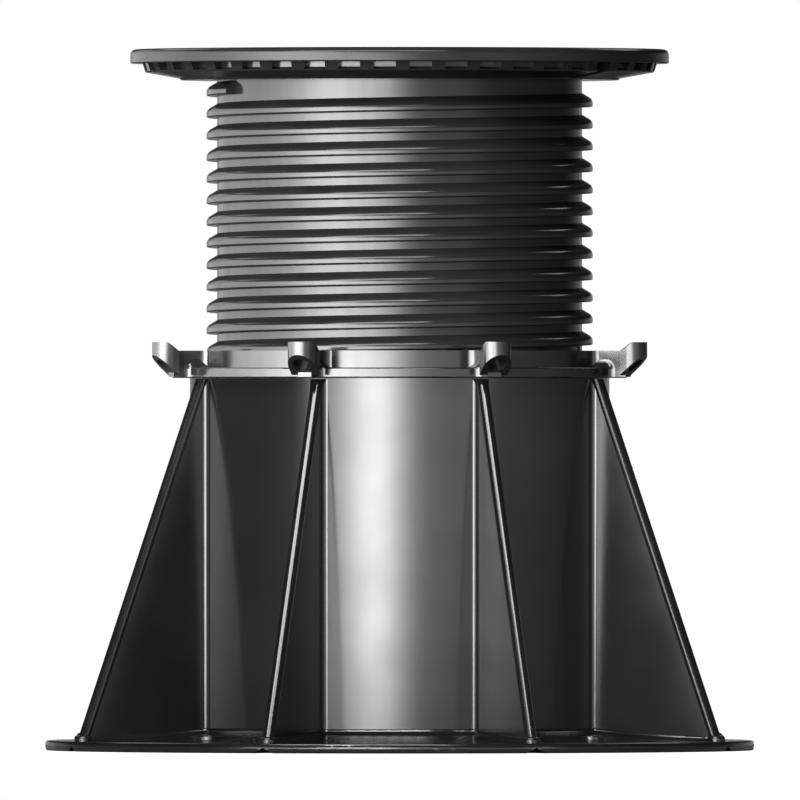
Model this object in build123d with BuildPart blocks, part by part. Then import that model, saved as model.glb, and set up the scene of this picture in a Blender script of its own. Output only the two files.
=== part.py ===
import os
from math import hypot

from build123d import *

# An adjustable pedestal that carries decking or paving above a flat roof.
# Four plastic mouldings: a flanged base tube with gussets, a ring nut that rests on the tube,
# a threaded stem that the nut raises and lowers, and a head plate that turns on the stem.
# Millimetres, +Z up, origin at the centre of the base's underside. The front faces -Y.

# Screw thread, one start, right-handed. The lower flank of the stem's tooth carries the load.
thread_pitch = 6.1
thread_depth = 3.0
tooth_root_width = 4.1
tooth_crest_width = 2.1
tooth_lower_rise = 0.2  # of the lower flank, from root to crest
tooth_embed = 0.4  # how far a tooth's foot reaches into the wall that carries it
thread_clearance = 0.35
thread_end_angle = -153.8  # where the stem's thread stops under the head, from +X
thread_end_gap = 0.1  # from the end of the stem's tooth to the flange

# Clearances between the pieces
stem_clearance = 2.0  # stem's thread to the base's bore
seat_clearance = 0.3  # ring nut to the tube that it turns on
spigot_clearance = 0.3  # head plate's spigot to the stem's bore
gusset_top_clearance = 0.3  # ring nut's skirt to the gussets' tops
sleeve_end_clearance = 0.5  # under the ring nut's sleeve

# Threaded stem with its flange
stem_root_radius = 51.5
stem_wall = 3.5
stem_length = 106.0  # below the flange
stem_foot_chamfer = 0.8
stem_extension = 76.3  # from the ring nut's top to the flange's underside, as shown
flange_radius = 72.6
flange_thickness = 4.7
flange_rim_thickness = 2.5
flange_rim_draft = 0.8  # how far the rim draws in towards its lower corner
flange_corner_radius = 0.5
flange_step_width = 10.2  # flat ring of the underside beside the stem
flange_step_height = 0.5
notch_count = 45
notch_width = 6.2
notch_depth = 3.0
notch_height = 2.1
notch_angle = -93.3  # of the first notch, from +X
key_slot_width = 5.2
key_slot_depth = 15.0
key_slot_angle = -37.0

# Head plate
head_radius = 76.0
head_thickness = 4.0
head_edge_radius = 1.4
spigot_depth = 6.0
spigot_wall = 2.4

# Ring nut
nut_collar_height = 6.7  # above the tube's rim
nut_collar_step = 0.2  # of the upper band, beyond the tube's radius
nut_band_height = 1.9  # of the wider lower band, above the tube's rim
nut_skirt_depth = 1.0  # below the tube's rim, outside it
nut_skirt_wall = 4.7
nut_sleeve_depth = 7.7  # below the tube's rim, inside it
nut_sleeve_wall = 2.2
nut_edge_radius = 0.4

# Lugs around the ring nut, each an arm with a socketed head
lug_count = 8
lug_arm_thickness = 4.0
lug_arm_fillet = 2.4
lug_arm_lift = 0.3  # of the arm's underside, above the skirt's
lug_arm_overrun = 0.85  # of the arm's end, past the back of the head
lug_head_width = 8.5
lug_head_length = 6.3
lug_reach = 10.85  # from the skirt's outer face to the head's end
lug_rise = 2.4  # of the head's top, above the collar
lug_top_length = 2.55
lug_top_slope = 3.2  # radial length of the top's slope down to the collar's height
lug_end_height = 3.7
lug_under_lift = 0.5  # of the slanted underside's lower end, above the arm's underside
lug_end_flat = 0.05  # half the flat left between the end's two round corners
lug_socket_diameter = 5.2
lug_socket_setback = 3.3  # of the socket's middle, from the head's end
lug_socket_depth = 2.2

# Base: a round plate, a tube and gussets between them
plate_radius = 100.0
plate_rim_thickness = 2.8
plate_hub_thickness = 5.2  # where the plate's sloping top meets the tube
plate_dish = 0.5  # how far the plate's top dips below a straight slope
plate_rim_bulge = 0.25  # of the rim, halfway up
plate_edge_radius = 0.55
plate_floor_thickness = 4.0  # inside the tube
tube_height = 106.0
tube_lip_wall = 1.85  # at the top, around the ring nut's sleeve
gusset_count = 8
gusset_thickness = 2.8
gusset_head_inset = 0.05  # of the plain wall's upper corner, inside the tube's surface
gusset_bead_radius = 1.7  # of the rounded outer edge
gusset_top_reach = 2.65  # beyond the tube's radius
gusset_foot_margin = 2.05  # from the plate's edge to the bead
foot_fillet_radius = 1.4
toe_margin = 1.2  # from the plate's edge to the round toe
toe_radius = 2.5
toe_height = 4.6
toe_edge_radius = 0.9
drain_width = 5.6
drain_height = 1.6
drain_length = 9.0
fixing_count = 4
fixing_circle_radius = 76.0
fixing_boss_radius = 4.1
fixing_boss_rise = 0.576  # above the plate's top at the boss's inner side
fixing_boss_edge_radius = 0.4
fixing_hole_radius = 2.25

# Radii that follow from the thread outwards
stem_crest_radius = stem_root_radius + thread_depth
stem_bore_radius = stem_root_radius - stem_wall
nut_bore_radius = stem_crest_radius + thread_clearance
nut_sleeve_radius = nut_bore_radius + nut_sleeve_wall
tube_seat_radius = nut_sleeve_radius + seat_clearance
tube_radius = tube_seat_radius + tube_lip_wall
tube_bore_radius = stem_crest_radius + stem_clearance
nut_collar_radius = tube_radius + nut_collar_step
nut_skirt_bore_radius = tube_radius + seat_clearance
nut_skirt_radius = nut_skirt_bore_radius + nut_skirt_wall
flange_step_radius = stem_root_radius + flange_step_width
spigot_radius = stem_bore_radius - spigot_clearance

# Heights that follow from the tube upwards
nut_top = tube_height + nut_collar_height
nut_band_top = tube_height + nut_band_height
nut_skirt_bottom = tube_height - nut_skirt_depth
nut_sleeve_bottom = tube_height - nut_sleeve_depth
tube_seat_bottom = nut_sleeve_bottom - sleeve_end_clearance
gusset_top = nut_skirt_bottom - gusset_top_clearance
flange_bottom = nut_top + stem_extension
flange_top = flange_bottom + flange_thickness
stem_bottom = flange_bottom - stem_length
head_top = flange_top + head_thickness

# Gussets and lugs stand in line, half a step away from the +X axis
gusset_angle = 180 / gusset_count
lug_angle = 180 / lug_count
fixing_angle = 180 / fixing_count

# One helix, the middle of the stem's tooth, gives both threads their phase
thread_end_height = flange_bottom - thread_end_gap - tooth_root_width / 2
stem_turns = int((thread_end_height - stem_bottom) / thread_pitch) + 1
stem_thread_start = thread_end_height - stem_turns * thread_pitch
nut_turns = int((nut_top - nut_sleeve_bottom) / thread_pitch) + 4
nut_thread_start = nut_sleeve_bottom - 2 * thread_pitch

# Stem's tooth, in radial and axial offsets from that helix. Its flanks run on into the wall
half_root = tooth_root_width / 2
crest_bottom = tooth_lower_rise - half_root
crest_top = crest_bottom + tooth_crest_width
lower_slope = (crest_bottom + half_root) / thread_depth
upper_slope = (crest_top - half_root) / thread_depth
stem_tooth_outline = [
    (-tooth_embed, -half_root - lower_slope * tooth_embed),
    (thread_depth, crest_bottom),
    (thread_depth, crest_top),
    (-tooth_embed, half_root - upper_slope * tooth_embed),
]

# Nut's tooth, which fills the stem's groove less the clearance
groove_floor = half_root + thread_clearance
groove_roof = thread_pitch - half_root - thread_clearance
nut_tooth_crest = thread_clearance
nut_tooth_root = thread_depth + thread_clearance + tooth_embed
nut_tooth_outline = [
    (nut_tooth_crest, groove_floor + upper_slope * nut_tooth_crest),
    (nut_tooth_root, groove_floor + upper_slope * nut_tooth_root),
    (nut_tooth_root, groove_roof + lower_slope * nut_tooth_root),
    (nut_tooth_crest, groove_roof + lower_slope * nut_tooth_crest),
]


def on_helix(height):
    # Where the helix passes a height, with the turn about Z that brings it there
    turn = thread_end_angle + 360 * (height - thread_end_height) / thread_pitch
    return Location((0, 0, height), (0, 0, turn))


def one_turn(outline):
    # One turn of a tooth of this outline along the helix, starting over +X at height zero
    with BuildLine() as path:
        Helix(pitch=thread_pitch, height=thread_pitch, radius=stem_root_radius)
    start = Plane(path.line @ 0, x_dir=(1, 0, 0), z_dir=-(path.line % 0))
    with BuildPart() as tooth:
        with BuildSketch(start):
            with BuildLine():
                Polyline(*outline, close=True)
            make_face()
        sweep(path=path.line, is_frenet=True)
    return tooth.part


def reach(edge):
    # The edge's furthest end from the axis
    return max(hypot(end.X, end.Y) for end in (edge @ 0, edge @ 1))


# Sloping outer edge of a gusset, as its bead's middle line from foot to head
toe_centre = plate_radius - toe_margin - toe_radius
bead_foot = (plate_radius - gusset_foot_margin - gusset_bead_radius, plate_rim_thickness)
bead_head = (tube_radius + gusset_top_reach - gusset_bead_radius, gusset_top)
bead_lean = (bead_foot[0] - bead_head[0]) / (bead_head[1] - bead_foot[1])
gusset_root = (tube_radius + tube_bore_radius) / 2
gusset_foot = plate_rim_thickness / 2
bead_slope = Vector(-bead_lean, 0, 1).normalized()
bead_start = Vector(bead_foot[0], 0, bead_foot[1]) - bead_slope * gusset_foot

# Corners of the plate's turned profile
rim_lower_corner = (plate_radius - plate_rim_bulge, 0)
rim_upper_corner = (plate_radius - plate_rim_bulge, plate_rim_thickness)
plate_hub_corner = (tube_radius, plate_hub_thickness)
plate_top_middle = ((plate_radius + tube_radius) / 2, (plate_rim_thickness + plate_hub_thickness) / 2 - plate_dish)

# Height of the fixing bosses, from the plate's dished top where it is highest beside them
boss_run = (fixing_circle_radius - fixing_boss_radius - tube_radius) / (plate_radius - tube_radius)
boss_ground = plate_hub_thickness - (plate_hub_thickness - plate_rim_thickness) * boss_run
boss_dip = 4 * plate_dish * boss_run * (1 - boss_run)
fixing_boss_height = boss_ground - boss_dip + fixing_boss_rise

# Lug's outline, from the nut's middle outwards
lug_overlap = nut_skirt_wall / 4
lug_skirt_root = nut_skirt_radius - lug_overlap
lug_collar_root = nut_collar_radius - lug_overlap
lug_head_end = nut_skirt_radius + lug_reach
lug_head_start = lug_head_end - lug_head_length
lug_bottom = nut_skirt_bottom + lug_arm_lift
lug_top = nut_top + lug_rise
lug_under_start = Vector(lug_head_start, 0, lug_bottom + lug_under_lift)
lug_under_end = Vector(lug_head_end, 0, lug_top - lug_end_height)
lug_under = lug_under_end - lug_under_start
socket_mouth = lug_under_end - lug_under * (lug_socket_setback / lug_head_length)
socket_direction = Vector(-lug_under.Z, 0, lug_under.X).normalized()


# Gusset: a plain sloping wall, with its foot inside the plate
with BuildPart() as gusset:
    with BuildSketch(Plane.XZ):
        with BuildLine():
            Polyline(
                (gusset_root, gusset_foot),
                (bead_foot[0] + bead_lean * (bead_foot[1] - gusset_foot), gusset_foot),
                (tube_radius - gusset_head_inset, gusset_top),
                (gusset_root, gusset_top),
                close=True,
            )
        make_face()
    extrude(amount=gusset_thickness / 2, both=True)

# Bead: the gusset's rounded outer edge
with BuildPart() as bead:
    with BuildSketch(Plane(bead_start, z_dir=bead_slope)):
        Circle(gusset_bead_radius)
    extrude(amount=(gusset_top - bead_start.Z) / bead_slope.Z + gusset_bead_radius)
    split(bisect_by=Plane.XY.offset(gusset_top), keep=Keep.BOTTOM)

# Toe: the round pad that the bead ends in, on the plate
with BuildPart() as toe:
    with BuildSketch(Plane.XZ) as toe_profile:
        with BuildLine():
            Polyline(
                (toe_centre, gusset_foot),
                (toe_centre + toe_radius, gusset_foot),
                (toe_centre + toe_radius, toe_height),
                (toe_centre, toe_height),
                close=True,
            )
        make_face()
        toe_corner = toe_profile.vertices().sort_by(Axis.X)[-2:].sort_by(Axis.Y)[-1]
        fillet(toe_corner, toe_edge_radius)
    revolve(axis=Axis((toe_centre, 0, 0), (0, 0, 1)))

# Drain: a notch of triangular section in the plate's underside
with BuildPart() as drain:
    with BuildSketch(Plane.YZ.offset(plate_radius - drain_length)):
        with BuildLine():
            Polyline(
                (-drain_width / 2, 0),
                (drain_width / 2, 0),
                (0, drain_height),
                close=True,
            )
        make_face()
    extrude(amount=drain_length)

# Base
with BuildPart() as base:
    # The plate and the tube are one turned profile, with a dished top and a bulging rim
    with BuildSketch(Plane.XZ) as base_profile:
        with BuildLine():
            Polyline(
                rim_lower_corner,
                (0, 0),
                (0, plate_floor_thickness),
                (tube_bore_radius, plate_floor_thickness),
                (tube_bore_radius, tube_seat_bottom),
                (tube_seat_radius, tube_seat_bottom),
                (tube_seat_radius, tube_height),
                (tube_radius, tube_height),
                plate_hub_corner,
            )
            ThreePointArc(plate_hub_corner, plate_top_middle, rim_upper_corner)
            ThreePointArc(rim_upper_corner, (plate_radius, plate_rim_thickness / 2), rim_lower_corner)
        make_face()
        fillet(base_profile.vertices().sort_by(Axis.X)[-2:], plate_edge_radius)
    revolve(axis=Axis.Z)

    # Gussets, filleted where they meet the plate and the tube
    with PolarLocations(0, gusset_count, start_angle=gusset_angle):
        add(gusset.part)
    foot_edges = base.edges().filter_by(
        lambda e: e.center().Z > plate_rim_thickness
        and e.bounding_box().max.Z < plate_hub_thickness + 0.01
        and tube_radius - 0.01 < reach(e) < plate_radius - gusset_foot_margin / 2
    )
    corner_edges = base.edges().filter_by(Axis.Z).filter_by(
        lambda e: abs(reach(e) - tube_radius) < 0.01 and e.bounding_box().max.Z < gusset_top + 0.01
    )
    fillet(foot_edges + corner_edges, foot_fillet_radius)
    with PolarLocations(0, gusset_count, start_angle=gusset_angle):
        add(bead.part)
        add(toe.part)

    # Round bosses around the fixing holes
    with BuildSketch(Plane.XY.offset(gusset_foot)):
        with PolarLocations(fixing_circle_radius, fixing_count, start_angle=fixing_angle):
            Circle(fixing_boss_radius)
    extrude(amount=fixing_boss_height - gusset_foot)
    boss_rims = base.edges().filter_by(GeomType.CIRCLE).filter_by(
        lambda e: e.radius == fixing_boss_radius and abs(e.center().Z - fixing_boss_height) < 0.01
    )
    fillet(boss_rims, fixing_boss_edge_radius)
    with PolarLocations(fixing_circle_radius, fixing_count, start_angle=fixing_angle):
        Hole(fixing_hole_radius)

    # A drain below each gusset
    with PolarLocations(0, gusset_count, start_angle=gusset_angle):
        add(drain.part, mode=Mode.SUBTRACT)

# Lug: an arm across both bands of the nut, and a head with a slanted, socketed underside
with BuildPart() as lug:
    with BuildSketch(Plane.XZ):
        with BuildLine():
            Polyline(
                (lug_skirt_root, lug_bottom),
                (lug_head_start + lug_arm_overrun, lug_bottom),
                (lug_head_start + lug_arm_overrun, nut_top),
                (lug_collar_root, nut_top),
                (lug_collar_root, tube_height + lug_overlap),
                (lug_skirt_root, tube_height + lug_overlap),
                close=True,
            )
        make_face()
    extrude(amount=lug_arm_thickness / 2, both=True)
    with BuildSketch(Plane.XZ):
        with BuildLine():
            Polyline(
                (lug_under_start.X, lug_under_start.Z),
                (lug_under_end.X, lug_under_end.Z),
                (lug_head_end, lug_top),
                (lug_head_end - lug_top_length, lug_top),
                (lug_head_end - lug_top_length - lug_top_slope, nut_top),
                (lug_head_start, nut_top),
                close=True,
            )
        make_face()
    extrude(amount=lug_head_width / 2, both=True)
    fillet(lug.edges().filter_by(Axis.Z).sort_by(Axis.X)[-2:], lug_head_width / 2 - lug_end_flat)

    # Blind socket, square to the slanted underside
    with BuildSketch(Plane(socket_mouth, x_dir=(0, 1, 0), z_dir=socket_direction)):
        Circle(lug_socket_diameter / 2)
    extrude(amount=lug_socket_depth, mode=Mode.SUBTRACT)

# Thread of the ring nut, turn by turn, trimmed to the ring's height
nut_tooth = one_turn(nut_tooth_outline)
with BuildPart() as nut_thread:
    with Locations([on_helix(nut_thread_start + turn * thread_pitch) for turn in range(nut_turns)]):
        add(nut_tooth, clean=False)
    with BuildSketch(Plane.XY.offset(nut_sleeve_bottom)):
        Circle(nut_sleeve_radius)
    extrude(amount=nut_top - nut_sleeve_bottom, mode=Mode.INTERSECT)

# Ring nut
with BuildPart() as ring_nut:
    with BuildSketch(Plane.XZ) as ring_profile:
        with BuildLine():
            Polyline(
                (nut_bore_radius, nut_sleeve_bottom),
                (nut_sleeve_radius, nut_sleeve_bottom),
                (nut_sleeve_radius, tube_height),
                (nut_skirt_bore_radius, tube_height),
                (nut_skirt_bore_radius, nut_skirt_bottom),
                (nut_skirt_radius, nut_skirt_bottom),
                (nut_skirt_radius, nut_band_top),
                (nut_collar_radius, nut_band_top),
                (nut_collar_radius, nut_top),
                (nut_bore_radius, nut_top),
                close=True,
            )
        make_face()
        fillet(ring_profile.vertices().sort_by(Axis.X)[-2:], nut_edge_radius)
    revolve(axis=Axis.Z)
    with PolarLocations(0, lug_count, start_angle=lug_angle):
        add(lug.part)
    arm_edges = ring_nut.edges().filter_by(Axis.Z).filter_by(
        lambda e: min(abs(reach(e) - nut_collar_radius), abs(reach(e) - nut_skirt_radius)) < 0.01
    )
    fillet(arm_edges, lug_arm_fillet)
    add(nut_thread.part, clean=False)

# Thread of the stem, turn by turn, from above its foot up to its flat end under the flange
stem_tooth = one_turn(stem_tooth_outline)
with BuildPart() as stem_thread:
    with Locations([on_helix(stem_thread_start + turn * thread_pitch) for turn in range(stem_turns)]):
        add(stem_tooth, clean=False)
    with BuildSketch(Plane.XY.offset(stem_bottom + stem_foot_chamfer)):
        Circle(flange_radius)
    extrude(amount=stem_length - stem_foot_chamfer, mode=Mode.INTERSECT)

# Notch: a cut into the flange's rim from above
with BuildPart() as notch:
    with BuildSketch(Plane.XZ):
        with BuildLine():
            Polyline(
                (flange_radius - notch_depth, flange_top - notch_height),
                (flange_radius + notch_depth, flange_top - notch_height),
                (flange_radius + notch_depth, flange_top + notch_height),
                (flange_radius - notch_depth, flange_top + notch_height),
                close=True,
            )
        make_face()
    extrude(amount=notch_width / 2, both=True)

# Threaded stem, hollow and open at its lower end, with the notched flange on top
with BuildPart() as threaded_stem:
    with BuildSketch(Plane.XZ) as stem_profile:
        with BuildLine():
            Polyline(
                (stem_bore_radius, stem_bottom),
                (stem_root_radius - stem_foot_chamfer, stem_bottom),
                (stem_root_radius, stem_bottom + stem_foot_chamfer),
                (stem_root_radius, flange_bottom),
                (flange_step_radius, flange_bottom),
                (flange_step_radius + flange_step_height, flange_bottom + flange_step_height),
                (flange_radius - flange_rim_draft, flange_top - flange_rim_thickness),
                (flange_radius, flange_top),
                (stem_bore_radius, flange_top),
                close=True,
            )
        make_face()
        fillet(stem_profile.vertices().sort_by(Axis.X)[-2], flange_corner_radius)
    revolve(axis=Axis.Z)

    # Notches around the rim, closed below, and one key slot through the flange
    with PolarLocations(0, notch_count, start_angle=notch_angle):
        add(notch.part, mode=Mode.SUBTRACT)
    with BuildSketch(Plane.XY.offset(flange_bottom)):
        with PolarLocations(flange_radius, 1, start_angle=key_slot_angle):
            Rectangle(2 * key_slot_depth, key_slot_width)
    extrude(amount=flange_thickness, mode=Mode.SUBTRACT)
    add(stem_thread.part, clean=False)

# Head plate, with a spigot ring that turns in the stem's bore
with BuildPart() as head_plate:
    with BuildSketch(Plane.XZ) as head_profile:
        with BuildLine():
            Polyline(
                (0, flange_top),
                (spigot_radius - spigot_wall, flange_top),
                (spigot_radius - spigot_wall, flange_top - spigot_depth),
                (spigot_radius, flange_top - spigot_depth),
                (spigot_radius, flange_top),
                (head_radius, flange_top),
                (head_radius, head_top),
                (0, head_top),
                close=True,
            )
        make_face()
        rim_corners = head_profile.vertices().filter_by(lambda v: v.X > head_radius - 0.01)
        fillet(rim_corners.sort_by(Axis.Y)[-1], head_edge_radius)
    revolve(axis=Axis.Z)

base.part.label = "base"
ring_nut.part.label = "ring_nut"
threaded_stem.part.label = "threaded_stem"
head_plate.part.label = "head_plate"

os.makedirs("parts", exist_ok=True)
export_step(base.part, "parts/base.step")
export_step(ring_nut.part, "parts/ring_nut.step")
export_step(threaded_stem.part, "parts/threaded_stem.step")
export_step(head_plate.part, "parts/head_plate.step")
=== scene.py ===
import math

import bmesh
import bpy
from mathutils import Matrix, Vector


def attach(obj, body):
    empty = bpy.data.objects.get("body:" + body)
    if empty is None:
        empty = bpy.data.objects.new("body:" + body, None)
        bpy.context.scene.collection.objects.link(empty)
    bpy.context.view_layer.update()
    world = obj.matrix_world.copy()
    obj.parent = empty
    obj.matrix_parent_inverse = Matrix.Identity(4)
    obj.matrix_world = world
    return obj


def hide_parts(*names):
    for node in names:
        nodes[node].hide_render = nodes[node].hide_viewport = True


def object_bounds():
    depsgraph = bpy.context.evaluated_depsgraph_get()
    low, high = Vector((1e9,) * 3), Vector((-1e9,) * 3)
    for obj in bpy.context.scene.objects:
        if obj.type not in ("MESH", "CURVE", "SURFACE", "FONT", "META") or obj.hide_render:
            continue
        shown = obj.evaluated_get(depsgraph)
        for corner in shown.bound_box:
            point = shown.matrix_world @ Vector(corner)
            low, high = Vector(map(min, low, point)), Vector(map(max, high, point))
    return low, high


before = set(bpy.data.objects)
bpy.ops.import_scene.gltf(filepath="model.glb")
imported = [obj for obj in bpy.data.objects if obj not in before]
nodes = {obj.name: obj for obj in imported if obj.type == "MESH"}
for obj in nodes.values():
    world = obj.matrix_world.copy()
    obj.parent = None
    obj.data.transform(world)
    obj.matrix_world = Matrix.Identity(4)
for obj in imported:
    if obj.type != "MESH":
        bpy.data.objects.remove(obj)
cadLow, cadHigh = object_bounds()
print("frame loaded:", sorted(nodes))

# Pieces are drawn in millimetres. Floor, lamps and camera are in metres
millimetre = 0.001

# Black moulded plastic. Scales are waves per metre, depths are in metres
finishes = {
    "base": {
        "dark": 0.005, "light": 0.009, "smooth": 0.15, "rough": 0.19, "grain": 0.05, "waves": 0.02,
        "shine": 0.5,
    },
    "nut": {
        "dark": 0.005, "light": 0.010, "smooth": 0.15, "rough": 0.20, "grain": 0.05, "waves": 0.02,
        "shine": 0.4,
    },
    "stem": {
        "dark": 0.005, "light": 0.008, "smooth": 0.15, "rough": 0.19, "grain": 0.04, "waves": 0.02,
        "shine": 0.22,
    },
    "head": {
        "dark": 0.005, "light": 0.009, "smooth": 0.17, "rough": 0.22, "grain": 0.06, "waves": 0.02,
        "shine": 0.12,
    },
}
plastic = {
    "ior": 1.49,
    "cloudScale": 26,
    "cloudDetail": 4,
    "cloudRange": (0.35, 0.65),
    "darkTint": 1.05,  # of the blue, over the red and green
    "lightTint": 1.03,
    "glossScale": 75,
    "glossDetail": 3,
    "glossRange": (0.3, 0.7),
    "grainScale": 1900,
    "grainDetail": 2,
    "grainDepth": 0.00002,
    "waveScale": 55,
    "waveDetail": 1,
    "waveDepth": 0.00012,
}


def addNoise(tree, place, scale, detail):
    noise = tree.nodes.new("ShaderNodeTexNoise")
    noise.inputs["Scale"].default_value = scale
    noise.inputs["Detail"].default_value = detail
    tree.links.new(place.outputs["Object"], noise.inputs["Vector"])
    return noise


def addRange(tree, source, low, high):
    spread = tree.nodes.new("ShaderNodeMapRange")
    spread.inputs["From Min"].default_value = plastic["glossRange"][0]
    spread.inputs["From Max"].default_value = plastic["glossRange"][1]
    spread.inputs["To Min"].default_value = low
    spread.inputs["To Max"].default_value = high
    tree.links.new(source.outputs["Fac"], spread.inputs["Value"])
    return spread


def addBump(tree, source, strength, depth, below=None):
    bump = tree.nodes.new("ShaderNodeBump")
    bump.inputs["Strength"].default_value = strength
    bump.inputs["Distance"].default_value = depth
    tree.links.new(source.outputs["Fac"], bump.inputs["Height"])
    if below:
        tree.links.new(below.outputs["Normal"], bump.inputs["Normal"])
    return bump


def makePlastic(name, look):
    material = bpy.data.materials.new(name)
    material.use_nodes = True
    tree = material.node_tree
    shader = tree.nodes["Principled BSDF"]
    shader.inputs["IOR"].default_value = plastic["ior"]
    shader.inputs["Specular IOR Level"].default_value = look["shine"]
    place = tree.nodes.new("ShaderNodeTexCoord")

    # Faint clouds in the black, as carbon-filled plastic has
    clouds = addNoise(tree, place, plastic["cloudScale"], plastic["cloudDetail"])
    shade = tree.nodes.new("ShaderNodeValToRGB")
    darkEnd, lightEnd = shade.color_ramp.elements
    darkEnd.position, lightEnd.position = plastic["cloudRange"]
    dark, light = look["dark"], look["light"]
    darkEnd.color = (dark, dark, dark * plastic["darkTint"], 1)
    lightEnd.color = (light, light, light * plastic["lightTint"], 1)
    tree.links.new(clouds.outputs["Fac"], shade.inputs["Fac"])
    tree.links.new(shade.outputs["Color"], shader.inputs["Base Color"])

    # Gloss that comes and goes a little
    gloss = addNoise(tree, place, plastic["glossScale"], plastic["glossDetail"])
    roughness = addRange(tree, gloss, look["smooth"], look["rough"])
    tree.links.new(roughness.outputs["Result"], shader.inputs["Roughness"])

    # Slow waves where the walls shrank, under the fine grain of the mould
    waveNoise = addNoise(tree, place, plastic["waveScale"], plastic["waveDetail"])
    waves = addBump(tree, waveNoise, look["waves"], plastic["waveDepth"])
    grainNoise = addNoise(tree, place, plastic["grainScale"], plastic["grainDetail"])
    grain = addBump(tree, grainNoise, look["grain"], plastic["grainDepth"], below=waves)
    tree.links.new(grain.outputs["Normal"], shader.inputs["Normal"])
    return material


def giveMaterial(piece, material):
    piece.data.materials.clear()
    piece.data.materials.append(material)


materials = {name: makePlastic(name + "Plastic", look) for name, look in finishes.items()}
giveMaterial(nodes["base"], materials["base"])
giveMaterial(nodes["ring_nut"], materials["nut"])
giveMaterial(nodes["threaded_stem"], materials["stem"])
giveMaterial(nodes["head_plate"], materials["head"])
print("materials ready")

# Shared settings of the pieces made here
making = {
    "cornerSegments": 5,
    "turnedMerge": 0.0005,  # how near two points of a turned piece become one
    "evenWeight": 80,
    "near": 0.01,
    "sharpTurned": 35,  # degrees
    "sharpCut": 40,
}


def turnAbout(mesh, degrees):
    turn = Matrix.Rotation(math.radians(degrees), 3, "Z")
    bmesh.ops.rotate(mesh, verts=mesh.verts[:], matrix=turn)


def onlyKind(parts, kind):
    return [part for part in parts if isinstance(part, kind)]


def addCorners(mesh, corners):
    # A closed outline of radius, height and round, with each corner rounded that far along its sides
    points = [mesh.verts.new((radius, 0, height)) for radius, height, _ in corners]
    for index, point in enumerate(points):
        mesh.edges.new((points[index - 1], point))
    for point, (_, _, rounding) in zip(points, corners):
        if rounding:
            bmesh.ops.bevel(
                mesh, geom=[point], offset=rounding, offset_type="OFFSET",
                segments=making["cornerSegments"], profile=0.5, affect="VERTICES", material=-1,
            )


def spinOutline(corners, steps, start):
    mesh = bmesh.new()
    addCorners(mesh, corners)
    turnAbout(mesh, start)
    bmesh.ops.spin(
        mesh, geom=mesh.verts[:] + mesh.edges[:], cent=(0, 0, 0), axis=(0, 0, 1),
        angle=2 * math.pi, steps=steps, use_merge=True,
    )
    bmesh.ops.remove_doubles(mesh, verts=mesh.verts[:], dist=making["turnedMerge"])
    bmesh.ops.recalc_face_normals(mesh, faces=mesh.faces[:])
    return mesh


def makePiece(name, mesh):
    bmesh.ops.scale(mesh, vec=(millimetre, millimetre, millimetre), verts=mesh.verts[:])
    data = bpy.data.meshes.new(name)
    mesh.to_mesh(data)
    mesh.free()
    piece = bpy.data.objects.new(name, data)
    bpy.context.scene.collection.objects.link(piece)
    return piece


def settleModifiers(piece):
    bpy.context.view_layer.update()
    shaped = piece.evaluated_get(bpy.context.evaluated_depsgraph_get())
    settled = bpy.data.meshes.new_from_object(shaped)
    piece.modifiers.clear()
    piece.data = settled


def smoothOver(piece, angle):
    # Smooth between sharp edges, with the wide faces keeping their own direction beside a round edge
    piece.data.shade_smooth()
    piece.data.set_sharp_from_angle(angle=math.radians(angle))
    evened = piece.modifiers.new("evened", "WEIGHTED_NORMAL")
    evened.keep_sharp = True
    evened.weight = making["evenWeight"]
    settleModifiers(piece)


# Head plate: a disc with a spigot ring below, turned from one outline
head = {
    "radius": 76.0,
    "bottom": 193.7,
    "top": 197.7,
    "topRound": 1.55,
    "bottomRound": 0.4,
    "spigotRadius": 47.7,
    "spigotWall": 2.4,
    "spigotDepth": 6.0,
    "spigotRound": 0.3,
    "steps": 240,
}
spigotBore = head["spigotRadius"] - head["spigotWall"]
spigotBottom = head["bottom"] - head["spigotDepth"]
headOutline = [
    (0, head["bottom"], 0),
    (spigotBore, head["bottom"], 0),
    (spigotBore, spigotBottom, head["spigotRound"]),
    (head["spigotRadius"], spigotBottom, head["spigotRound"]),
    (head["spigotRadius"], head["bottom"], 0),
    (head["radius"], head["bottom"], head["bottomRound"]),
    (head["radius"], head["top"], head["topRound"]),
    (0, head["top"], 0),
]
headPiece = makePiece("headDisc", spinOutline(headOutline, head["steps"], 0))
smoothOver(headPiece, making["sharpTurned"])
giveMaterial(headPiece, materials["head"])
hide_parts("head_plate")
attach(headPiece, "head_plate")
print("head ready")

# Stem: a tube with a notched flange, and one tooth wound up it
stem = {
    "bore": 48.0,
    "radius": 51.5,
    "bottom": 83.0,
    "footChamfer": 0.8,
    "flangeBottom": 189.0,
    "flangeTop": 193.7,
    "stepRadius": 61.7,
    "stepHeight": 0.5,
    "rimBottomRadius": 71.8,
    "rimBottomRound": 0.4,
    "rimHeight": 2.5,
    "radiusAtTop": 72.6,
    "steps": 180,
    "startAngle": -0.3,  # keeps the spin's edges off the notches' walls
    "edgeRound": 0.22,
    "edgeSegments": 2,
    "edgeAngle": 38,  # edges that turn by more than this are rounded
}
notch = {
    "count": 45,
    "width": 6.2,
    "depth": 3.0,
    "height": 2.1,
    "floorRound": 0.7,
    "floorSegments": 4,
    "angle": -93.3,
}
keySlot = {"width": 5.2, "innerRadius": 57.6, "outerRadius": 77.6, "overrun": 1, "angle": -37.0}
thread = {
    "pitch": 6.1,
    "depth": 3.0,
    "halfRoot": 2.05,
    "crestBottom": -1.85,
    "crestTop": 0.25,
    "embed": 0.4,
    "lowerRound": 0.35,
    "upperRound": 1.0,
    "endAngle": -153.8,
    "endHeight": 186.85,
    "stepsPerTurn": 96,
    "merge": 0.001,  # how near two points of neighbouring turns become one
}

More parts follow.
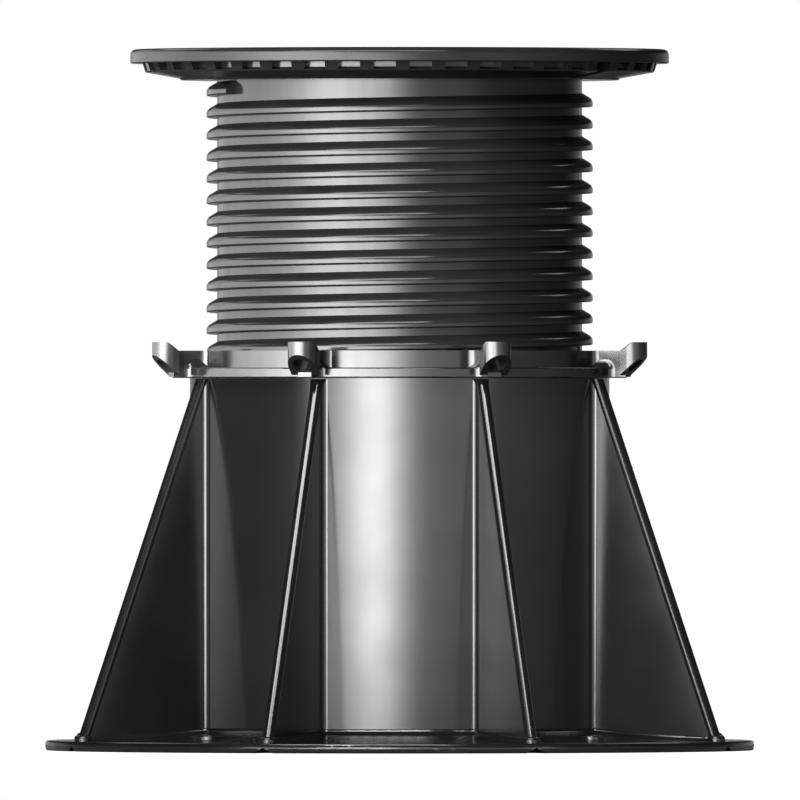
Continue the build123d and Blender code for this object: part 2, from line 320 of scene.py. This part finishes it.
rimBottom = stem["flangeTop"] - stem["rimHeight"]
stemOutline = [
    (stem["bore"], stem["bottom"], 0),
    (stem["radius"] - stem["footChamfer"], stem["bottom"], 0),
    (stem["radius"], stem["bottom"] + stem["footChamfer"], 0),
    (stem["radius"], stem["flangeBottom"], 0),
    (stem["stepRadius"], stem["flangeBottom"], 0),
    (stem["stepRadius"] + stem["stepHeight"], stem["flangeBottom"] + stem["stepHeight"], 0),
    (stem["rimBottomRadius"], rimBottom, stem["rimBottomRound"]),
    (stem["radiusAtTop"], stem["flangeTop"], 0),
    (stem["bore"], stem["flangeTop"], 0),
]
stemPiece = makePiece("stemMoulding", spinOutline(stemOutline, stem["steps"], stem["startAngle"]))


def cutAway(piece, cutters):
    for cutter in cutters:
        cut = piece.modifiers.new(cutter.name, "BOOLEAN")
        cut.operation = "DIFFERENCE"
        cut.solver = "EXACT"
        cut.object = cutter
    settleModifiers(piece)
    for cutter in cutters:
        bpy.data.objects.remove(cutter)


def copyAround(mesh, count):
    if count > 1:
        bmesh.ops.spin(
            mesh, geom=mesh.verts[:] + mesh.edges[:] + mesh.faces[:], cent=(0, 0, 0),
            axis=(0, 0, 1), angle=2 * math.pi * (count - 1) / count, steps=count - 1,
            use_duplicate=True,
        )


def makeBlock(low, high):
    mesh = bmesh.new()
    bmesh.ops.create_cube(mesh, size=1)
    bmesh.ops.scale(mesh, vec=Vector(high) - Vector(low), verts=mesh.verts[:])
    bmesh.ops.translate(mesh, vec=(Vector(high) + Vector(low)) / 2, verts=mesh.verts[:])
    return mesh


notchFloor = stem["flangeTop"] - notch["height"]
notchBack = stem["radiusAtTop"] - notch["depth"]
notchMesh = makeBlock(
    (notchBack, -notch["width"] / 2, notchFloor),
    (stem["radiusAtTop"] + notch["depth"], notch["width"] / 2, stem["flangeTop"] + notch["height"]),
)
innerFloor = [
    edge for edge in notchMesh.edges
    if all(
        vert.co.x < notchBack + making["near"] and vert.co.z < notchFloor + making["near"]
        for vert in edge.verts
    )
]
bmesh.ops.bevel(
    notchMesh, geom=innerFloor, offset=notch["floorRound"], offset_type="OFFSET",
    segments=notch["floorSegments"], profile=0.5, affect="EDGES", material=-1,
)
turnAbout(notchMesh, notch["angle"])
copyAround(notchMesh, notch["count"])
slotMesh = makeBlock(
    (keySlot["innerRadius"], -keySlot["width"] / 2, stem["flangeBottom"] - keySlot["overrun"]),
    (keySlot["outerRadius"], keySlot["width"] / 2, stem["flangeTop"] + keySlot["overrun"]),
)
turnAbout(slotMesh, keySlot["angle"])
cutAway(stemPiece, [makePiece("notchCutter", notchMesh), makePiece("slotCutter", slotMesh)])

softEdges = stemPiece.modifiers.new("softEdges", "BEVEL")
softEdges.width = stem["edgeRound"] * millimetre
softEdges.segments = stem["edgeSegments"]
softEdges.limit_method = "ANGLE"
softEdges.angle_limit = math.radians(stem["edgeAngle"])
settleModifiers(stemPiece)


def windThread(mesh):
    # The tooth starts at its flat end under the flange and winds down past the tube's foot
    lowerSlope = (thread["crestBottom"] + thread["halfRoot"]) / thread["depth"]
    upperSlope = (thread["crestTop"] - thread["halfRoot"]) / thread["depth"]
    crest, embed = stem["radius"] + thread["depth"], thread["embed"]
    addCorners(mesh, [
        (stem["radius"] - embed, -thread["halfRoot"] - lowerSlope * embed, 0),
        (crest, thread["crestBottom"], thread["lowerRound"]),
        (crest, thread["crestTop"], thread["upperRound"]),
        (stem["radius"] - embed, thread["halfRoot"] - upperSlope * embed, 0),
    ])
    endEdges = mesh.edges[:]
    bmesh.ops.translate(mesh, vec=(0, 0, thread["endHeight"]), verts=mesh.verts[:])
    turnAbout(mesh, thread["endAngle"])
    bmesh.ops.spin(
        mesh, geom=mesh.verts[:] + mesh.edges[:], cent=(0, 0, 0), axis=(0, 0, 1),
        angle=-2 * math.pi, dvec=(0, 0, -thread["pitch"] / thread["stepsPerTurn"]),
        steps=thread["stepsPerTurn"],
    )

    # Further turns are copies of the first
    turns = math.ceil((thread["endHeight"] - stem["bottom"]) / thread["pitch"]) + 1
    oneTurn = mesh.verts[:] + mesh.edges[:] + mesh.faces[:]
    for turn in range(1, turns):
        copied = bmesh.ops.duplicate(mesh, geom=oneTurn)["geom"]
        bmesh.ops.translate(
            mesh, vec=(0, 0, -thread["pitch"] * turn), verts=onlyKind(copied, bmesh.types.BMVert)
        )
    bmesh.ops.contextual_create(mesh, geom=endEdges)
    bmesh.ops.remove_doubles(mesh, verts=mesh.verts[:], dist=thread["merge"])

    # Trimmed level above the stem's foot
    trimmed = bmesh.ops.bisect_plane(
        mesh, geom=mesh.verts[:] + mesh.edges[:] + mesh.faces[:],
        plane_co=(0, 0, stem["bottom"] + stem["footChamfer"]), plane_no=(0, 0, 1), clear_inner=True,
    )
    footEdges = onlyKind(trimmed["geom_cut"], bmesh.types.BMEdge)
    bmesh.ops.holes_fill(mesh, edges=footEdges, sides=0)
    bmesh.ops.recalc_face_normals(mesh, faces=mesh.faces[:])


threadMesh = bmesh.new()
windThread(threadMesh)
threadPiece = makePiece("thread", threadMesh)
whole = bmesh.new()
whole.from_mesh(stemPiece.data)
whole.from_mesh(threadPiece.data)
whole.to_mesh(stemPiece.data)
whole.free()
bpy.data.objects.remove(threadPiece)
smoothOver(stemPiece, making["sharpCut"])
giveMaterial(stemPiece, materials["stem"])
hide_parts("threaded_stem")
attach(stemPiece, "threaded_stem")
print("stem ready,", len(stemPiece.data.polygons), "faces")

# Rim of the foot: a finely turned skin around the plate's edge, with its drains cut through
rim = {
    "innerRadius": 98.9,
    "cornerRadius": 99.75,
    "bulgeRadius": 100.07,  # before it is rounded, which brings it to the plate's own 100
    "height": 2.8,
    "innerHeight": 2.809,
    "cornerRound": 0.55,
    "bulgeRound": 0.8,
    "steps": 360,
    "startAngle": 0.37,
}
drain = {"count": 8, "angle": 22.5, "width": 5.6, "height": 1.6, "length": 9.0, "overrun": 1}
rimOutline = [
    (rim["innerRadius"], 0, 0),
    (rim["cornerRadius"], 0, rim["cornerRound"]),
    (rim["bulgeRadius"], rim["height"] / 2, rim["bulgeRound"]),
    (rim["cornerRadius"], rim["height"], rim["cornerRound"]),
    (rim["innerRadius"], rim["innerHeight"], 0),
]
rimPiece = makePiece("footRim", spinOutline(rimOutline, rim["steps"], rim["startAngle"]))

# A drain is cut with a triangle that is as deep again below the foot, so twice as wide there
drainMesh = bmesh.new()
drainInner = rim["bulgeRadius"] - drain["length"]
drainOuter = rim["bulgeRadius"] + drain["overrun"]
drainCorners = (
    (-drain["width"], -drain["height"]),
    (drain["width"], -drain["height"]),
    (0, drain["height"]),
)
drainFace = drainMesh.faces.new(
    [drainMesh.verts.new((drainInner, across, height)) for across, height in drainCorners]
)
pulled = bmesh.ops.extrude_face_region(drainMesh, geom=[drainFace])["geom"]
bmesh.ops.translate(
    drainMesh, vec=(drainOuter - drainInner, 0, 0), verts=onlyKind(pulled, bmesh.types.BMVert)
)
bmesh.ops.recalc_face_normals(drainMesh, faces=drainMesh.faces[:])
turnAbout(drainMesh, drain["angle"])
copyAround(drainMesh, drain["count"])
cutAway(rimPiece, [makePiece("drainCutter", drainMesh)])
smoothOver(rimPiece, making["sharpCut"])
giveMaterial(rimPiece, materials["base"])
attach(rimPiece, "base")
print("rim ready")

# Pale floor, which glows for the camera alone
floor = {"radius": 0.9, "segments": 96, "color": 0.2, "roughness": 0.8, "seen": 0.95}
floorMesh = bmesh.new()
bmesh.ops.create_circle(
    floorMesh, cap_ends=True, radius=floor["radius"] / millimetre, segments=floor["segments"]
)
floorPiece = makePiece("floor", floorMesh)
floorMaterial = bpy.data.materials.new("floorWhite")
floorMaterial.use_nodes = True
floorTree = floorMaterial.node_tree
floorShader = floorTree.nodes["Principled BSDF"]
floorShader.inputs["Base Color"].default_value = (floor["color"], floor["color"], floor["color"], 1)
floorShader.inputs["Roughness"].default_value = floor["roughness"]
floorShader.inputs["Emission Color"].default_value = (1, 1, 1, 1)
floorRays = floorTree.nodes.new("ShaderNodeLightPath")
floorGlow = floorTree.nodes.new("ShaderNodeMapRange")
floorGlow.inputs["To Max"].default_value = floor["seen"]
floorTree.links.new(floorRays.outputs["Is Camera Ray"], floorGlow.inputs["Value"])
floorTree.links.new(floorGlow.outputs["Result"], floorShader.inputs["Emission Strength"])
giveMaterial(floorPiece, floorMaterial)

# Lamps. Azimuths are in degrees from the front, with the left negative
leftLamps = {
    "distance": 1.0,
    "low": 0.06,
    "high": 0.6,
    "width": 2 * math.tan(math.radians(9 / 2)),  # they stand 9 degrees apart
    "strengths": {
        -155: 0.8, -146: 1.2, -137: 1.7, -128: 2.9, -119: 4.2, -110: 5.4, -101: 6.8, -92: 8.8,
        -83: 11.5, -74: 15.0, -65: 21.0, -56: 29.0, -47: 34.0, -38: 31.0, -29: 20.0, -20: 8.0,
    },
}
ribLamps = {
    "distance": 1.0,
    "low": -0.08,
    "high": 0.18,
    "width": 0.16,
    "strengths": {-45: 3.4, 45: 1.9},
}
upperLamp = {
    "azimuths": (-14,), "elevation": 38, "distance": 1.0, "width": 0.95, "height": 0.3,
    "strength": 18,
}
backLamps = {
    "azimuths": (-140, 140), "elevation": 40, "distance": 1.1, "width": 0.5, "height": 0.3,
    "strength": 2.5,
}

# The left lamps light the upper pieces alone, and the rib lamps the base, past its own gussets
upperPieces = bpy.data.collections.new("upperPieces")
for piece in (nodes["ring_nut"], stemPiece, headPiece):
    upperPieces.objects.link(piece)
lowerPieces = bpy.data.collections.new("lowerPieces")
for piece in (nodes["base"], rimPiece):
    lowerPieces.objects.link(piece)


def addLamp(name, azimuth, elevation, distance, width, height, strength, centre):
    light = bpy.data.lights.new(name, "AREA")
    light.shape = "RECTANGLE"
    light.size, light.size_y = width, height
    light.energy = strength * math.pi * width * height
    turn, rise = math.radians(azimuth), math.radians(elevation)
    level = math.cos(rise)
    outward = Vector((math.sin(turn) * level, -math.cos(turn) * level, math.sin(rise)))
    holder = bpy.data.objects.new(name, light)
    holder.location = centre + outward * distance
    holder.rotation_euler = outward.to_track_quat("Z", "Y").to_euler()
    holder.visible_camera = False
    bpy.context.scene.collection.objects.link(holder)
    return holder


def addUprightLamps(name, lamps, receivers, blockers=None):
    centre = Vector((0, 0, (lamps["high"] + lamps["low"]) / 2))
    height = lamps["high"] - lamps["low"]
    for azimuth, strength in lamps["strengths"].items():
        holder = addLamp(
            f"{name}{azimuth}", azimuth, 0, lamps["distance"], lamps["width"], height, strength,
            centre,
        )
        holder.light_linking.receiver_collection = receivers
        if blockers:
            holder.light_linking.blocker_collection = blockers


def addRaisedLamps(name, lamps):
    centre = Vector((0, 0, (cadLow.z + cadHigh.z) / 2))
    for azimuth in lamps["azimuths"]:
        addLamp(
            f"{name}{azimuth}", azimuth, lamps["elevation"], lamps["distance"], lamps["width"],
            lamps["height"], lamps["strength"], centre,
        )


addUprightLamps("leftLamp", leftLamps, upperPieces)
addRaisedLamps("upperLamp", upperLamp)
addUprightLamps("ribLamp", ribLamps, lowerPieces, blockers=upperPieces)
addRaisedLamps("backLamp", backLamps)
print("lamps ready")

# Surroundings: white for the camera. The object sees a dim room with a bright band along the horizon
surroundings = {
    "seen": 1.0,
    "dim": 0.025,
    "bandHalfHeight": 0.075,  # as the sine of an elevation
    "bandFade": 0.04,
    "brightest": 27.0,
    "band": {
        -180: 0.5, -120: 0.15, -84: 0.25, -60: 0.5, -52: 2.0, -44: 3.5, -38: 8.0, -33: 11.5,
        -27: 17.0, -22: 22.5, -17: 27.0, -11: 27.0, -6: 22.0, -1: 14.5, 4: 9.0, 8: 6.0, 12: 4.0,
        18: 3.1, 28: 2.3, 38: 2.3, 45: 2.0, 52: 1.1, 60: 0.7, 88: 0.35, 110: 0.15, 132: 0.05,
        180: 0.5,
    },
}
world = bpy.data.worlds.new("surroundings")
bpy.context.scene.world = world
world.use_nodes = True
worldTree = world.node_tree
background = worldTree.nodes["Background"]
background.inputs["Color"].default_value = (1, 1, 1, 1)


def addMath(operation, *values):
    step = worldTree.nodes.new("ShaderNodeMath")
    step.operation = operation
    for socket, value in zip(step.inputs, values):
        if isinstance(value, (int, float)):
            socket.default_value = value
        else:
            worldTree.links.new(value, socket)
    return step.outputs["Value"]


# How far round a direction lies, from 0 behind the object, by its left, to 1 behind it again
towards = worldTree.nodes.new("ShaderNodeTexCoord")
parts = worldTree.nodes.new("ShaderNodeSeparateXYZ")
worldTree.links.new(towards.outputs["Generated"], parts.inputs["Vector"])
turned = addMath("ARCTAN2", parts.outputs["X"], addMath("MULTIPLY", parts.outputs["Y"], -1))
share = addMath("MULTIPLY_ADD", turned, 1 / (2 * math.pi), 0.5)

# The band's strength there, as a share of the brightest
around = worldTree.nodes.new("ShaderNodeValToRGB")
worldTree.links.new(share, around.inputs["Fac"])
stops = around.color_ramp.elements
for azimuth, strength in surroundings["band"].items():
    position = azimuth / 360 + 0.5
    if position == 0:
        stop = stops[0]
    elif position == 1:
        stop = stops[-1]
    else:
        stop = stops.new(position)
    level = strength / surroundings["brightest"]
    stop.color = (level, level, level, 1)

# The band fades above and below the horizon
inBand = worldTree.nodes.new("ShaderNodeMapRange")
inBand.interpolation_type = "SMOOTHSTEP"
bandEnd = surroundings["bandHalfHeight"] + surroundings["bandFade"]
inBand.inputs["From Min"].default_value = surroundings["bandHalfHeight"]
inBand.inputs["From Max"].default_value = bandEnd
inBand.inputs["To Min"].default_value = surroundings["brightest"]
inBand.inputs["To Max"].default_value = 0
worldTree.links.new(addMath("ABSOLUTE", parts.outputs["Z"]), inBand.inputs["Value"])
band = addMath("MULTIPLY", around.outputs["Color"], inBand.outputs["Result"])
room = addMath("ADD", band, surroundings["dim"])

worldRays = worldTree.nodes.new("ShaderNodeLightPath")
shown = worldTree.nodes.new("ShaderNodeMix")
shown.data_type = "FLOAT"
worldTree.links.new(worldRays.outputs["Is Camera Ray"], shown.inputs["Factor"])
worldTree.links.new(room, shown.inputs["A"])
shown.inputs["B"].default_value = surroundings["seen"]
worldTree.links.new(shown.outputs["Result"], background.inputs["Strength"])
print("surroundings ready")

# Camera far off with a long lens, level with the middle of the object, as the photograph is
shot = {
    "width": 0.2257, "lens": 1600, "sensor": 36, "x": 0.0001, "z": 0.0988,
    "nearest": 0.01, "furthest": 3,  # what it sees, as shares of its distance
}
cameraData = bpy.data.cameras.new("camera")
cameraData.lens = shot["lens"]
cameraData.sensor_width = shot["sensor"]
camera = bpy.data.objects.new("camera", cameraData)
distance = shot["width"] * shot["lens"] / shot["sensor"]
camera.location = (shot["x"], -distance, shot["z"])
camera.rotation_euler = (math.radians(90), 0, 0)
cameraData.clip_start = distance * shot["nearest"]
cameraData.clip_end = distance * shot["furthest"]
bpy.context.scene.collection.objects.link(camera)
bpy.context.scene.camera = camera
bpy.context.scene.view_settings.view_transform = "Standard"
print("camera", round(distance, 2), "m away")
